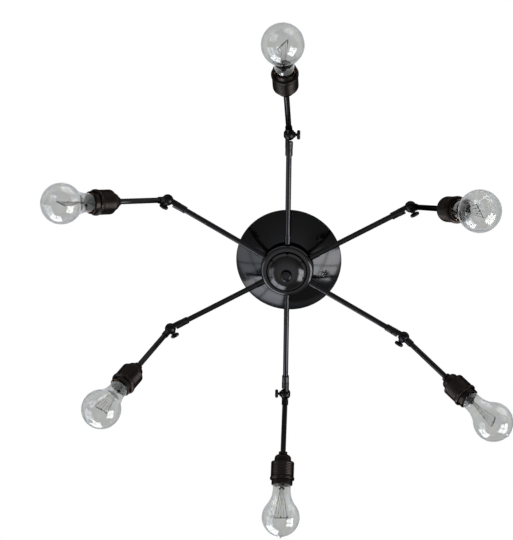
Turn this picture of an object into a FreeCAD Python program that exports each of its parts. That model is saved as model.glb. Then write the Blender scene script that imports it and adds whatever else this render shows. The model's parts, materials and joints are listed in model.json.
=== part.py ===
"""Six-arm ceiling light: a canopy and drum hub carry straight arms, and each arm's outer
half hangs from a clamped knuckle and ends in a lampholder with a clear bulb.

Millimetres. Origin: centre of the canopy's ceiling face. +Z points up into the ceiling.
The light is modelled with its arms set at unequal angles, as someone would leave them.
"""
import FreeCAD, Part
import math
import os

V = FreeCAD.Vector
X_AXIS = V(1, 0, 0)
Y_AXIS = V(0, 1, 0)
Z_AXIS = V(0, 0, 1)
FAR = 60.0                      # half size of the blocks that cut knuckle halves apart

# ---- arms ------------------------------------------------------------------------------
arm_count = 6
first_azimuth = -90.0           # arm 1 points to the front, the rest follow anticlockwise
hub_drop = 44.0                 # ceiling down to the plane of the arms
arm_reach = 216.0               # light's axis to a knuckle's centre
outer_length = 96.0             # knuckle's centre to the lampholder's back
tilt_angles = [39.5, 61.0, 39.5, 41.0, 60.0, 49.5]     # degrees below straight, per arm
roll_angles = [-2.0, 0.0, 1.0, -1.0, -4.5, -13.5]      # knuckle's turn about its own arm
key_sides = [1, 1, 1, 1, -1, -1]                       # which cheek the thumb key is on
filament_turns = [-35.0, -89.0, -61.0, -77.0, -50.0, 28.0]     # bulb's turn in its holder

tube_r = 4.25
tube_bore_r = 3.45
bore_r = 3.2                    # way for the leads through bushes and knuckles
socketed = 10.0                 # how far a tube goes into a bush

# ---- canopy, crossbar and nipple -------------------------------------------------------
canopy_r = 84.5
canopy_depth = 30.5
canopy_wall = 1.2
canopy_lip = 2.4
canopy_flat_r = 37.0
canopy_bulge = 2.2              # how far the dish's side swells out from a plain cone

bar_length = 112.0
bar_width = 16.0
bar_thick = 2.0
slot_spacing = 88.9
slot_width = 5.0
slot_length = 14.0
earth_screw_x = 24.0
earth_screw_r = 2.0

nipple_r = 4.9
nipple_bore_r = 3.3
nipple_top = -0.3
window_height = 13.0
window_width = 5.0
nut_thick = 3.5
nut_flats = 14.0
small_nut_thick = 3.0
small_nut_flats = 11.0

# ---- hub -------------------------------------------------------------------------------
hub_r = 41.6
hub_wall = 2.0
hub_bottom = -55.5
hub_top_round = 3.0
hub_bottom_round = 6.5
cap_r = 32.2
cap_wall = 1.2
cap_depth = 17.8
finial_r = 8.5
finial_bottom = -82.4

coupling_r = 4.85
coupling_stub = 15.0
spigot_r = 3.95
spot_face = 0.6

# ---- knuckle, all measured from its centre ---------------------------------------------
sleeve_r = 5.65
sleeve_start = 32.5
shank_r = 5.9
shank_start = 20.5
shank_end = 11.0
ball_r = 9.0
cheek_flat = 8.2
half_gap = 0.1                  # each cheek's distance from the split plane
pocket_r = 6.3
pocket_depth = 5.2
post_r = 2.9
collar_r = 5.4
collar_start = 9.3
collar_end = 18.0
screw_r = 1.7
screw_fit = 0.06
boss_r = 4.2
boss_end = 9.5
key_start = 11.6
key_thick = 5.0
key_half_length = 7.2
key_half_width = 4.6
key_round = 1.9

lead_r = 0.9
lead_side = 1.9                 # leads lie to one side of the tube, clear of the screw
lead_apart = 1.0
lead_from_centre = 4.6
ring_r = 24.0                   # bundle of leads that runs round the nipple in the drum
ring_thick = 2.6
splice_r = 6.0
splice_height = 17.0
splice_tip = 0.45               # a splice cap's closed end, as a share of its open end

# ---- lampholder, along the outer arm from its back face --------------------------------
ring_r_back = 7.0
ring_length = 4.2
cap_dome_r = 13.4
cap_end = 15.8
skirt_end = 20.0
cap_skin = 1.0
shell_r = 18.6
shell_skin = 1.0
bead_start = 41.0
bead_r = 19.6
bead_width = 2.0
lip_start = 45.2
lip_r = 16.8
holder_length = 53.0
insert_r = 15.6
insert_start = 20.2
insert_wall = 1.2
insert_floor = 3.0
insert_end = 44.0
screw_shell_r = 14.3
screw_shell_skin = 0.8
screw_shell_end = 46.0

# ---- bulb, along the same line from the lampholder's rim -------------------------------
globe_r = 30.0
globe_centre = 51.0
globe_tip = 32.8                # globe's centre to the end of its pip
pip_r = 4.6
neck_r = 14.3
neck_end = 7.0
glass_wall = 0.7
neck_root_r = 11.4
neck_root_start = -10.0
base_top = -2.6
base_r = 13.1
thread_depth = 0.8
thread_pitch = 3.63
thread_turns = 4
base_skin = 0.6
base_bottom = -23.5
contact_face = -28.0
contact_r = 4.6
stem_r = 3.6
stem_top = 5.5
wire_r = 0.35
filament_r = 0.45
filament_half = 10.5
support_spread = 1.9


# ---- helpers ---------------------------------------------------------------------------
def face_of(points, place):
    """Closed face from (a, b) points; (a, b, through_a, through_b) arrives by an arc."""
    edges = []
    here = points[0][:2]
    for point in points[1:] + points[:1]:
        there = point[:2]
        start, end = place(*here), place(*there)
        if (start - end).Length > 1e-7:
            if len(point) == 4 and point is not points[0]:
                edges.append(Part.Arc(start, place(*point[2:]), end).toShape())
            else:
                edges.append(Part.makeLine(start, end))
        here = there
    return Part.Face(Part.Wire(edges))


def turned_x(points):
    """Solid turned about the X axis from (x, radius) points."""
    return face_of(points, lambda x, r: V(x, r, 0)).revolve(V(), X_AXIS, 360)


def turned_z(points):
    """Solid turned about the Z axis from (radius, z) points."""
    return face_of(points, lambda r, z: V(r, 0, z)).revolve(V(), Z_AXIS, 360)


def rod_x(radius, start, end, y=0.0, z=0.0):
    return Part.makeCylinder(radius, end - start, V(start, y, z), X_AXIS)


def rod_y(radius, start, end):
    return Part.makeCylinder(radius, end - start, V(0, start, 0), Y_AXIS)


def rod_z(radius, start, end, x=0.0, y=0.0):
    return Part.makeCylinder(radius, end - start, V(x, y, start), Z_AXIS)


def pipe_x(radius, bore, start, end):
    return rod_x(radius, start, end).cut(rod_x(bore, start, end))


def rod_between(start, end, radius):
    return Part.makeCylinder(radius, (end - start).Length, start, end - start)


def hexagon(flats, thick, bore):
    """Hexagon nut standing on the XY plane."""
    corner = flats / 2 / math.cos(math.pi / 6)
    points = [V(corner * math.cos(k * math.pi / 3), corner * math.sin(k * math.pi / 3), 0)
              for k in range(7)]
    body = Part.Face(Part.makePolygon(points)).extrude(V(0, 0, thick))
    return body.cut(rod_z(bore, 0, thick))


def y_side(shape, sign):
    """The part of a shape that lies beyond the split plane on one side."""
    low = half_gap if sign > 0 else -FAR
    block = Part.makeBox(2 * FAR, FAR - half_gap, 2 * FAR, V(-FAR, low, -FAR))
    return shape.common(block)


def placed(shape, placement):
    moved = shape.copy()
    moved.Placement = placement.multiply(shape.Placement)
    return moved


def group(shapes):
    return Part.makeCompound(list(shapes))


def save(name, shape):
    shape.exportStep(os.path.join("parts", name + ".step"))


# ---- frames ----------------------------------------------------------------------------
def spoke_frame(number):
    """At the hub's centre, X out along the arm, Z up."""
    azimuth = first_azimuth + (number - 1) * 360.0 / arm_count
    return FreeCAD.Placement(V(0, 0, -hub_drop), FreeCAD.Rotation(Z_AXIS, azimuth))


def knuckle_frame(number):
    """At a knuckle's centre, X along the inner arm, Y along the hinge."""
    roll = FreeCAD.Rotation(X_AXIS, roll_angles[number - 1])
    return spoke_frame(number).multiply(FreeCAD.Placement(V(arm_reach, 0, 0), roll))


def flip(number):
    """Half a turn about the arm for a knuckle whose key is on the other cheek."""
    angle = 0 if key_sides[number - 1] > 0 else 180
    return FreeCAD.Placement(V(), FreeCAD.Rotation(X_AXIS, angle))


def base_frame(number):
    return knuckle_frame(number).multiply(flip(number))


def outer_frame(number):
    """At a knuckle's centre, X along the outer arm."""
    tilt = FreeCAD.Rotation(Y_AXIS, tilt_angles[number - 1])
    return knuckle_frame(number).multiply(FreeCAD.Placement(V(), tilt)).multiply(flip(number))


def bulb_frame(number):
    """At a lampholder's rim, turned about the bulb's axis."""
    turn = FreeCAD.Rotation(X_AXIS, filament_turns[number - 1])
    along = FreeCAD.Placement(V(outer_length + holder_length, 0, 0), turn)
    return outer_frame(number).multiply(along)


# ---- ceiling end -----------------------------------------------------------------------
def dish(inset):
    """Solid inside the canopy's skin, pulled in by an inset, open face at the ceiling."""
    rim = canopy_r - inset
    flat = canopy_flat_r - inset / 2
    low = -canopy_depth + inset
    side_top = -canopy_lip + inset / 4
    middle_r = (rim + flat) / 2
    middle_z = (side_top + low) / 2
    lean = math.hypot(rim - flat, side_top - low)
    swell_r = middle_r + canopy_bulge * (side_top - low) / lean
    swell_z = middle_z - canopy_bulge * (rim - flat) / lean
    return turned_z([(0, 0), (rim, 0), (rim, side_top), (flat, low, swell_r, swell_z), (0, low)])


def make_canopy():
    return dish(0).cut(dish(canopy_wall)).cut(rod_z(nipple_r, -canopy_depth, 0))


def make_crossbar():
    bar = Part.makeBox(bar_length, bar_width, bar_thick,
                       V(-bar_length / 2, -bar_width / 2, -bar_thick))
    corners = [edge for edge in bar.Edges if abs(edge.tangentAt(edge.FirstParameter).z) > 0.9]
    bar = bar.makeFillet(bar_width / 3, corners)
    bar = bar.cut(rod_z(nipple_r, -bar_thick, 0))
    bar = bar.cut(rod_z(earth_screw_r, -bar_thick, 0, earth_screw_x))
    straight = slot_length - slot_width
    for side in (-1, 1):
        middle = side * slot_spacing / 2
        slot = Part.makeBox(straight, slot_width, bar_thick,
                            V(middle - straight / 2, -slot_width / 2, -bar_thick))
        for end in (-1, 1):
            slot = slot.fuse(rod_z(slot_width / 2, -bar_thick, 0, middle + end * straight / 2))
        bar = bar.cut(slot)
    return bar


def make_earth_screw():
    head_r = 2 * earth_screw_r
    head = rod_z(head_r, -bar_thick - earth_screw_r, -bar_thick, earth_screw_x)
    drive = Part.makeBox(2 * head_r, earth_screw_r / 2, earth_screw_r / 2,
                         V(earth_screw_x - head_r, -earth_screw_r / 4, -bar_thick - earth_screw_r))
    shank = rod_z(earth_screw_r, -bar_thick, 0, earth_screw_x)
    return head.cut(drive).fuse(shank).removeSplitter()


def make_nipple():
    bottom = finial_bottom + finial_r / 2
    pipe = rod_z(nipple_r, bottom, nipple_top).cut(rod_z(nipple_bore_r, bottom, nipple_top))
    window = Part.makeBox(window_width, 2 * nipple_r, window_height,
                          V(-window_width / 2, -2 * nipple_r, -hub_drop - window_height / 2))
    return pipe.cut(window)


def make_lock_nuts():
    """Three nuts on the nipple and one behind each hub coupling."""
    nut = hexagon(nut_flats, nut_thick, nipple_r)
    heights = [-bar_thick - nut_thick, -canopy_depth + canopy_wall,
               -canopy_depth - hub_wall - nut_thick]
    nuts = [placed(nut, FreeCAD.Placement(V(0, 0, z), FreeCAD.Rotation())) for z in heights]
    small = hexagon(small_nut_flats, small_nut_thick, spigot_r)
    corner = small_nut_flats / 2 / math.cos(math.pi / 6)
    seat = math.sqrt((hub_r - hub_wall) ** 2 - corner ** 2) - small_nut_thick
    lay = FreeCAD.Placement(V(seat, 0, 0), FreeCAD.Rotation(Y_AXIS, 90))
    nuts += [placed(small, spoke_frame(n).multiply(lay)) for n in numbers()]
    return group(nuts)


# ---- hub -------------------------------------------------------------------------------
def drum(inset):
    """Solid drum with rounded edges, pulled in by an inset."""
    top = -canopy_depth - inset
    low = hub_bottom + inset
    side = hub_r - inset
    upper = hub_top_round - inset / 2
    lower = hub_bottom_round - inset / 2
    bend = 1 - math.sqrt(0.5)
    return turned_z([
        (0, top), (side - upper, top),
        (side, top - upper, side - upper * bend, top - upper * bend),
        (side, low + lower),
        (side - lower, low, side - lower * bend, low + lower * bend),
        (0, low)])


def make_hub_body():
    mouth_r = hub_r - hub_bottom_round - 2 * hub_wall
    body = drum(0).cut(drum(hub_wall))
    body = body.cut(rod_z(mouth_r, hub_bottom, hub_bottom + hub_wall))
    body = body.cut(rod_z(nipple_r, -canopy_depth - hub_wall, -canopy_depth))
    hole = rod_x(spigot_r, hub_r - 2 * hub_wall, hub_r)
    seat = rod_x(coupling_r, hub_r - spot_face, hub_r + spot_face)
    for n in numbers():
        body = body.cut(placed(hole.fuse(seat), spoke_frame(n)))
    return body


def dome(inset):
    """Solid under the hub cap's skin, pulled in by an inset."""
    rim = cap_r - inset
    brim = hub_bottom - cap_wall
    low = hub_bottom - cap_depth + inset
    flat = finial_r - 1
    return turned_z([(0, hub_bottom), (rim, hub_bottom), (rim, brim),
                     (flat, low, rim * 0.76, brim - (cap_depth - inset) * 0.54), (0, low)])


def make_hub_cap():
    return dome(0).cut(dome(cap_wall)).cut(rod_z(nipple_r, hub_bottom - cap_depth, hub_bottom))


def make_finial():
    top = hub_bottom - cap_depth
    neck = finial_r * 0.72
    belly = (top + finial_bottom) / 2
    tip = finial_r * 0.45
    body = turned_z([
        (0, top), (neck, top), (neck, top - 1),
        (tip, finial_bottom + 0.4, finial_r, belly), (tip - 1, finial_bottom),
        (0, finial_bottom)])
    return body.cut(rod_z(nipple_r, finial_bottom + finial_r / 2, top))


def make_couplings():
    """Bushes that hold each inner tube: one at the hub, one at the knuckle."""
    start = hub_r - spot_face
    end = hub_r + coupling_stub
    inner = math.sqrt((hub_r - hub_wall) ** 2 - small_nut_flats ** 2 / 3) - small_nut_thick - 1
    bush = rod_x(spigot_r, inner, start).fuse(rod_x(coupling_r, start, end))
    bush = bush.cut(rod_x(bore_r, inner, end)).cut(rod_x(tube_r, end - socketed, end))
    near, far = arm_reach - sleeve_start, arm_reach - shank_start
    sleeve = rod_x(sleeve_r, near, far).cut(rod_x(bore_r, near, far))
    sleeve = sleeve.cut(rod_x(tube_r, near, near + socketed))
    return group(placed(piece, spoke_frame(n)) for n in numbers() for piece in (bush, sleeve))


def make_arm_tubes():
    start = hub_r + coupling_stub - socketed
    end = arm_reach - sleeve_start + socketed
    tube = pipe_x(tube_r, tube_bore_r, start, end)
    return group(placed(tube, spoke_frame(n)) for n in numbers())


# ---- knuckle ---------------------------------------------------------------------------
def cheek(sign):
    """Half of the knuckle's ball, hollowed round the screw's post."""
    ball = Part.makeSphere(ball_r)
    half = y_side(ball, sign)
    trim = Part.makeBox(2 * FAR, FAR, 2 * FAR, V(-FAR, cheek_flat, -FAR))
    if sign < 0:
        trim = Part.makeBox(2 * FAR, FAR, 2 * FAR, V(-FAR, -cheek_flat - FAR, -FAR))
    half = half.cut(trim)
    low, high = (0, pocket_depth) if sign > 0 else (-pocket_depth, 0)
    pocket = rod_y(pocket_r, low, high).cut(rod_y(post_r, low, high))
    return half, pocket


def make_swivel_base():
    """Fixed half: cheek away from the key, on a shank that screws to the sleeve."""
    half, pocket = cheek(-1)
    shank = rod_x(shank_r, -shank_start, -shank_end)
    neck = y_side(rod_x(shank_r, -shank_end, 0), -1).cut(rod_y(shank_r, -FAR, 0))
    body = half.fuse([shank, neck])
    wide = rod_x(bore_r, -shank_start, -shank_end - 2)
    narrow = y_side(rod_x(bore_r, -shank_end - 2, -lead_from_centre), -1)
    return body.cut([pocket, wide, narrow, rod_y(screw_r + screw_fit, -FAR, FAR)])


def make_swivel_head():
    """Moving half: cheek under the key, with the outer tube's collar."""
    half, pocket = cheek(1)
    collar = rod_x(collar_r, collar_start, collar_end)
    neck = y_side(rod_x(collar_r, 0, collar_start), 1).cut(rod_y(collar_r, 0, FAR))
    boss = rod_y(boss_r, pocket_depth + 1, boss_end)
    body = half.fuse([collar, neck, boss])
    seat = rod_x(tube_r, collar_end - 7, collar_end)
    wide = rod_x(bore_r, collar_start + 1, collar_end - 7)
    narrow = y_side(rod_x(bore_r, lead_from_centre, collar_start + 1), 1)
    return body.cut([pocket, seat, wide, narrow, rod_y(screw_r + screw_fit, -FAR, FAR)])


def make_thumb_key():
    screw = rod_y(screw_r, -cheek_flat, key_start)
    neck = Part.makeCone(screw_r + 0.9, screw_r + 0.3, key_start - boss_end,
                         V(0, boss_end + half_gap, 0), Y_AXIS)
    oval = Part.Ellipse(V(), key_half_length, key_half_width).toShape()
    plate = Part.Face(Part.Wire([oval])).extrude(V(0, 0, key_thick))
    plate = plate.makeFillet(key_round, [e for e in plate.Edges if not e.isSeam(plate.Faces[0])])
    stand = FreeCAD.Placement(V(0, key_start, 0), FreeCAD.Rotation(X_AXIS, -90))
    return screw.fuse([neck, placed(plate, stand)]).removeSplitter()


# ---- leads -----------------------------------------------------------------------------
def lead_pair(start, end, side):
    return [rod_x(lead_r, start, end, side * lead_side, z) for z in (-lead_apart, lead_apart)]


def make_wiring():
    """Leads from the nipple's top to the knuckles, with the bundle and two splice caps."""
    ring = Part.makeTorus(ring_r, ring_thick, V(0, 0, -hub_drop))
    way_out = -ring_r
    solids = []
    for x in (-lead_apart, lead_apart):
        drop = rod_z(lead_r, -hub_drop, nipple_top, x)
        elbow = Part.makeSphere(lead_r, V(x, 0, -hub_drop))
        run = Part.makeCylinder(lead_r, -way_out, V(x, 0, -hub_drop), -Y_AXIS)
        solids.append(drop.fuse([elbow, run]).removeSplitter())
    trunk = ring.fuse(solids)
    for n in numbers():
        pair = lead_pair(ring_r - arm_reach, -lead_from_centre, -1)
        trunk = trunk.fuse([placed(lead, base_frame(n)) for lead in pair])
    caps = []
    for side in (-1, 1):
        foot = V(side * ring_r, 0, -hub_drop + ring_thick - splice_height / 2)
        cap = Part.makeCone(splice_r * splice_tip, splice_r, splice_height, foot, Z_AXIS)
        caps.append(cap)
        trunk = trunk.cut(cap)
    return group(trunk.Solids + caps)


# ---- lampholder ------------------------------------------------------------------------
def make_outer_tube():
    return pipe_x(tube_r, tube_bore_r, collar_end - 7, outer_length + ring_length * 2)


def make_holder_cap():
    """Ring and hollow dome at the back, with a skirt that goes into the shell."""
    mid = ring_length + (cap_end - ring_length) * 0.3
    full = ring_length + (cap_end - ring_length) * 0.62
    skin = cap_skin
    body = turned_x([
        (0, 0), (0, ring_r_back), (ring_length - 0.8, ring_r_back),
        (ring_length, ring_r_back - 0.8),
        (ring_length, ring_r_back + 0.6),
        (full, cap_dome_r, mid, cap_dome_r * 0.87), (skirt_end, cap_dome_r), (skirt_end, 0)])
    hollow = turned_x([
        (ring_length + skin, 0), (ring_length + skin, ring_r_back),
        (full, cap_dome_r - skin, mid + skin * 0.5, cap_dome_r * 0.87 - skin),
        (skirt_end, cap_dome_r - skin), (skirt_end, 0)])
    return body.cut(hollow).cut(rod_x(tube_r, 0, skirt_end))


def make_holder_shell():
    """Body with a rounded shoulder, two beads and a narrower lip."""
    skin = shell_skin
    back = cap_end
    round_r = 2.4
    bend = round_r * (1 - math.sqrt(0.5))
    outer = [(back, 0), (back, shell_r - round_r),
             (back + round_r, shell_r, back + bend, shell_r - bend), (bead_start, shell_r)]
    for k in range(2):
        start = bead_start + k * (bead_width + 0.1)
        outer += [(start, shell_r), (start + bead_width, shell_r, start + bead_width / 2, bead_r)]
    outer += [(lip_start, shell_r), (lip_start + 0.6, lip_r), (holder_length - 0.5, lip_r),
              (holder_length, lip_r - 0.5), (holder_length, 0)]
    inner = [(back + skin, 0), (back + skin, shell_r - round_r),
             (back + round_r, shell_r - skin), (lip_start - skin, shell_r - skin),
             (lip_start, lip_r - skin), (holder_length, lip_r - skin), (holder_length, 0)]
    body = turned_x(outer).cut(turned_x(inner))
    return body.cut(rod_x(cap_dome_r, back, back + skin))


def make_holder_insert():
    """Insulator cup, screw shell, centre contact and the two leads that feed them."""
    floor = insert_start + insert_floor
    cup = rod_x(insert_r, insert_start, insert_end)
    cup = cup.cut(rod_x(insert_r - insert_wall, floor, insert_end))
    shell = rod_x(screw_shell_r, floor, screw_shell_end)
    shell = shell.cut(rod_x(screw_shell_r - screw_shell_skin, floor + screw_shell_skin,
                            screw_shell_end))
    well = contact_r + 1
    shell = shell.cut(rod_x(well, floor, floor + screw_shell_skin))
    contact = rod_x(contact_r - 1, floor, holder_length + contact_face - 0.4)
    leads = lead_pair(lead_from_centre - outer_length, insert_start, 1)
    return group([cup, shell, contact] + leads)


# ---- bulb ------------------------------------------------------------------------------
def envelope(inset):
    """Solid inside the bulb's glass: neck, waist, globe and pip, pulled in by an inset."""
    neck = neck_r - inset
    globe = globe_r - inset
    run = globe_centre - neck_end
    waist = (run ** 2 + neck_r ** 2 - globe_r ** 2) / (2 * (globe_r - neck_r)) + inset
    between = globe + waist
    slope = math.asin(run / between)
    meet = (globe_centre - globe * run / between, globe * math.cos(slope))
    half = slope / 2
    mid = (neck_end + waist * math.sin(half), neck + waist * (1 - math.cos(half)))
    pip = pip_r - inset
    pip_start = globe_centre + math.sqrt(globe ** 2 - pip ** 2)
    tip = globe_centre + globe_tip - 2 * inset
    root = neck_root_r - inset
    return turned_x([
        (neck_root_start + inset, 0), (neck_root_start + inset, root),
        (base_top + inset, root), (base_top + inset + 2, neck),
        (neck_end, neck), meet + mid,
        (pip_start, pip, globe_centre, globe),
        ((2 * pip_start + tip) / 3, pip * 0.45), (tip - 0.4, pip * 0.12), (tip, 0)])


def make_bulb_glass():
    stem = turned_x([
        (neck_root_start, 0), (neck_root_start, neck_root_r - glass_wall / 2),
        (neck_root_start + 1.2, neck_root_r - glass_wall / 2),
        (0, stem_r, neck_root_start + 3, stem_r * 1.4),
        (stem_top, stem_r * 0.6), (stem_top, 0)])
    stem = stem.common(envelope(glass_wall / 2))
    return envelope(0).cut(envelope(glass_wall).cut(stem))


def thread_points():
    """Ridges of the base's thread, from the bottom up."""
    points = []
    root = base_r - thread_depth
    for k in range(thread_turns):
        start = base_bottom + 1.5 + k * thread_pitch
        points += [(start, root), (start + thread_pitch, root, start + thread_pitch / 2, base_r)]
    return points


def make_bulb_core():
    """Threaded base, its insulating disc and contact, and the filament on its wires."""
    root = base_r - thread_depth
    inner = root - base_skin
    outer = [(base_bottom, 0), (base_bottom, root - 0.2)] + thread_points()
    outer += [(base_top - 1, root), (base_top, base_r), (base_top, 0)]
    base = turned_x(outer).cut(rod_x(inner, base_bottom + base_skin, base_top))
    base = base.cut(rod_x(contact_r, base_bottom, base_bottom + base_skin))
    disc_start = contact_face + 1.2
    disc = Part.makeCone(contact_r, root - 1, base_bottom - disc_start,
                         V(disc_start, 0, 0), X_AXIS)
    contact = rod_x(contact_r, contact_face, disc_start)
    feet = [V(stem_top, 0, z) for z in (-support_spread, 0, support_spread)]
    tops = [V(globe_centre, 0, z) for z in (-filament_half, 0, filament_half)]
    mount = rod_between(tops[0], tops[2], filament_r)
    for foot, top in zip(feet, tops):
        mount = mount.fuse([rod_between(foot, top, wire_r), Part.makeSphere(2 * wire_r, top)])
    return group([base, disc, contact, mount])


# ---- build -----------------------------------------------------------------------------
def numbers():
    return range(1, arm_count + 1)


def make_root_pieces():
    return {
        "canopy": make_canopy(),
        "crossbar": make_crossbar(),
        "earth_screw": make_earth_screw(),
        "centre_nipple": make_nipple(),
        "lock_nuts": make_lock_nuts(),
        "hub_body": make_hub_body(),
        "hub_cap": make_hub_cap(),
        "finial": make_finial(),
        "tube_couplings": make_couplings(),
        "arm_tubes": make_arm_tubes(),
        "swivel_bases": group(placed(make_swivel_base(), base_frame(n)) for n in numbers()),
        "wiring": make_wiring(),
    }


def make_arm_pieces():
    holder = FreeCAD.Placement(V(outer_length, 0, 0), FreeCAD.Rotation())
    swivel = {"swivel_head": make_swivel_head(), "outer_tube": make_outer_tube()}
    lampholder = {"holder_cap": make_holder_cap(), "holder_shell": make_holder_shell(),
                  "holder_insert": make_holder_insert()}
    bulb = {"bulb_glass": make_bulb_glass(), "bulb_core": make_bulb_core()}
    key = make_thumb_key()
    pieces = {}
    for n in numbers():
        arm = outer_frame(n)
        for name, shape in swivel.items():
            pieces[f"{name}_{n}"] = placed(shape, arm)
        for name, shape in lampholder.items():
            pieces[f"{name}_{n}"] = placed(shape, arm.multiply(holder))
        for name, shape in bulb.items():
            pieces[f"{name}_{n}"] = placed(shape, bulb_frame(n))
        pieces[f"thumb_key_{n}"] = placed(key, base_frame(n))
    return pieces


os.makedirs("parts", exist_ok=True)
all_pieces = {**make_root_pieces(), **make_arm_pieces()}
for piece_name, piece_shape in all_pieces.items():
    save(piece_name, piece_shape)
    print(piece_name, len(piece_shape.Solids), round(piece_shape.Volume, 1),
          piece_shape.isValid())
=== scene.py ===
import json
import math
import random

import bmesh
import bpy
from mathutils import Matrix, Vector


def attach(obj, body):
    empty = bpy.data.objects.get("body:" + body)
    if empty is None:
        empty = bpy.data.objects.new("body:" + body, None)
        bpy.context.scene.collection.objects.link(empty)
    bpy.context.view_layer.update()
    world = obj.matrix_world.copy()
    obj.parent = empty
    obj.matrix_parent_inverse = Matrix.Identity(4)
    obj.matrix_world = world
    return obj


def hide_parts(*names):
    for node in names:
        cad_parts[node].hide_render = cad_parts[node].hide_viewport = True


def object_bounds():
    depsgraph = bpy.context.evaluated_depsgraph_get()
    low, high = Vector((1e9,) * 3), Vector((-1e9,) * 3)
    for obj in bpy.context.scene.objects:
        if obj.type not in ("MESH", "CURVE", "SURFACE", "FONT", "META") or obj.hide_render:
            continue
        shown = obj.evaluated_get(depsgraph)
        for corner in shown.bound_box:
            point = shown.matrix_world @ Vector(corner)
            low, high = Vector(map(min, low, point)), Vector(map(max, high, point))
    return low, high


bl_info = {
    "name": "Six-arm ceiling light",
    "version": (1, 0, 0),
    "blender": (4, 5, 0),
    "location": "3D View > Sidebar > Light",
    "description": "Dresses the ceiling light: metalwork, lampholders, bulbs and studio",
    "category": "Object",
}

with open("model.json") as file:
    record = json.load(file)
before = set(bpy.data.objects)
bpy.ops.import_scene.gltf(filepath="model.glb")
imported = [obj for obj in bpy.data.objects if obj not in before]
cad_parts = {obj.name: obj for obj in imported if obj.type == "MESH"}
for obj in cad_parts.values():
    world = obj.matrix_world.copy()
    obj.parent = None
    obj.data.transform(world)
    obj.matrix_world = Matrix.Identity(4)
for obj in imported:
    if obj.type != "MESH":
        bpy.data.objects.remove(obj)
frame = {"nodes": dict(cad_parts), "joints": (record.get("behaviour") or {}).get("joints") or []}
CAD_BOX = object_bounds()

MM = 0.001
X_AXIS = Vector((1, 0, 0))
Z_AXIS = Vector((0, 0, 1))
ROOT = "ceiling_unit"
JOINTS = {joint["name"]: joint for joint in frame["joints"]}
ARM_NUMBERS = sorted(int(name.split("_")[-1]) for name in JOINTS if name.startswith("knuckle"))
OWN_PLACE = "own_place"


# ---- places, read from the frame ----
def axes_at(origin, x_direction, y_direction):
    """Matrix that puts a piece's own X and Y along two directions."""
    x = Vector(x_direction).normalized()
    y = Vector(y_direction).normalized()
    z = x.cross(y).normalized()
    y = z.cross(x)
    turn = Matrix((x, y, z)).transposed().to_4x4()
    return Matrix.Translation(Vector(origin)) @ turn


class Arm:
    """One arm's places: spoke at the hub, outer at the knuckle, holder and bulb."""

    def __init__(self, number):
        self.number = number
        self.centre = Vector(JOINTS[f"knuckle_{number}"]["pos_m"])
        self.along = Vector(JOINTS[f"bulb_out_{number}"]["axis"])
        key = Vector(JOINTS[f"key_turn_{number}"]["axis"])
        level = Vector((self.centre.x, self.centre.y, 0))
        self.reach = level.length / MM
        self.spoke = axes_at((0, 0, self.centre.z), level, Z_AXIS.cross(level))
        self.outer = axes_at(self.centre, self.along, key)
        self.holder_back = self.far_end("outer_tube") - sizes().tube_in_holder

    def far_end(self, node):
        """How far a node reaches along the outer tube from the knuckle, in millimetres."""
        mesh = frame["nodes"][f"{node}_{self.number}"].data
        return max((v.co - self.centre).dot(self.along) for v in mesh.vertices) / MM

    def holder(self):
        return self.outer @ Matrix.Translation((self.holder_back * MM, 0, 0))

    def rim(self):
        """At the lampholder's rim, turned as the bulb sits: its filament lies along Z."""
        reach = self.far_end("holder_shell")
        home = self.outer.inverted()
        core = frame["nodes"][f"bulb_core_{self.number}"].data
        spots = [home @ v.co for v in core.vertices]
        beyond = (reach + sizes_of_bulb().globe_centre / 2) * MM
        end = max((p for p in spots if p.x > beyond), key=lambda p: math.hypot(p.y, p.z))
        turn = Matrix.Rotation(math.atan2(-end.y, end.z), 4, "X")
        return self.outer @ Matrix.Translation((reach * MM, 0, 0)) @ turn


# ---- outlines ----
def softened(points, radius, steps=3):
    """Outline with each inner corner rounded, as turned metal has it."""
    points = [Vector(p) for p in points]
    soft = [points[0]]
    for before, corner, after in zip(points, points[1:], points[2:]):
        back, ahead = before - corner, after - corner
        reach = min(radius, back.length * 0.45, ahead.length * 0.45)
        start = corner + back.normalized() * reach
        end = corner + ahead.normalized() * reach
        for k in range(steps + 1):
            t = k / steps
            soft.append(start * (1 - t) ** 2 + corner * 2 * t * (1 - t) + end * t ** 2)
    soft.append(points[-1])
    return soft


def arc(centre, radius, start, end, steps):
    """Points of an arc, angles in degrees from the first axis towards the second."""
    points = []
    for k in range(steps + 1):
        angle = math.radians(start + (end - start) * k / steps)
        points.append((centre[0] + radius * math.cos(angle), centre[1] + radius * math.sin(angle)))
    return points


# ---- meshes ----
def linked(name, data, place):
    """New object in the scene, at its place."""
    piece = bpy.data.objects.new(name, data)
    piece.matrix_world = place
    bpy.context.scene.collection.objects.link(piece)
    return piece


def finished(mesh_builder, name, place, angle=35.0):
    """Object from a bmesh, smooth but for its sharp edges."""
    bmesh.ops.remove_doubles(mesh_builder, verts=mesh_builder.verts, dist=1e-7)
    bmesh.ops.recalc_face_normals(mesh_builder, faces=mesh_builder.faces)
    mesh = bpy.data.meshes.new(name)
    mesh_builder.to_mesh(mesh)
    mesh_builder.free()
    mesh.polygons.foreach_set("use_smooth", [True] * len(mesh.polygons))
    mesh.set_sharp_from_angle(angle=math.radians(angle))
    return linked(name, mesh, place)


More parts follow.
